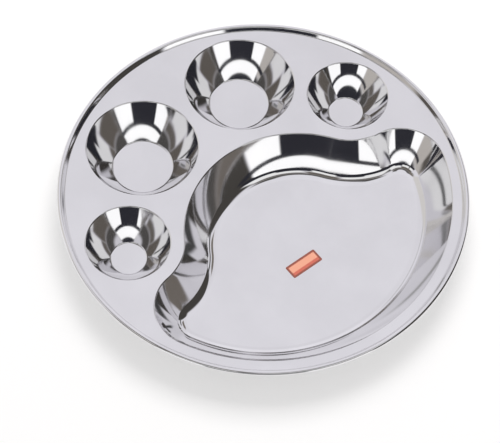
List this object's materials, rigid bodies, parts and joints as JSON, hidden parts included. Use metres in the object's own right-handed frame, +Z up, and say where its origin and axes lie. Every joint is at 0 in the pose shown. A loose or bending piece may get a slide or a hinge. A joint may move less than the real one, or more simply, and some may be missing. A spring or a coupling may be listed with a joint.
{
  "type": "thali plate",
  "caption": "Round pressed-steel compartment plate with a wired rolled rim, round bowls along one side and a wide main compartment that serves a meal in portions.",
  "frame": {"origin": "middle of the plate on the plane that its floors rest on", "axes": "+Z up out of the compartments, +Y from the main compartment towards the bowls, +X to the right seen with the main compartment nearest"},
  "size_m": [0.33, 0.33, 0.0334],
  "materials": {
    "polished_steel": "polished",
    "wire_steel": "satin",
    "label_film": "gloss"
  },
  "bodies": {
    "root": {"pressed_plate": "polished_steel", "rim_wire": "wire_steel", "label": "label_film"}
  },
  "joints": []
}
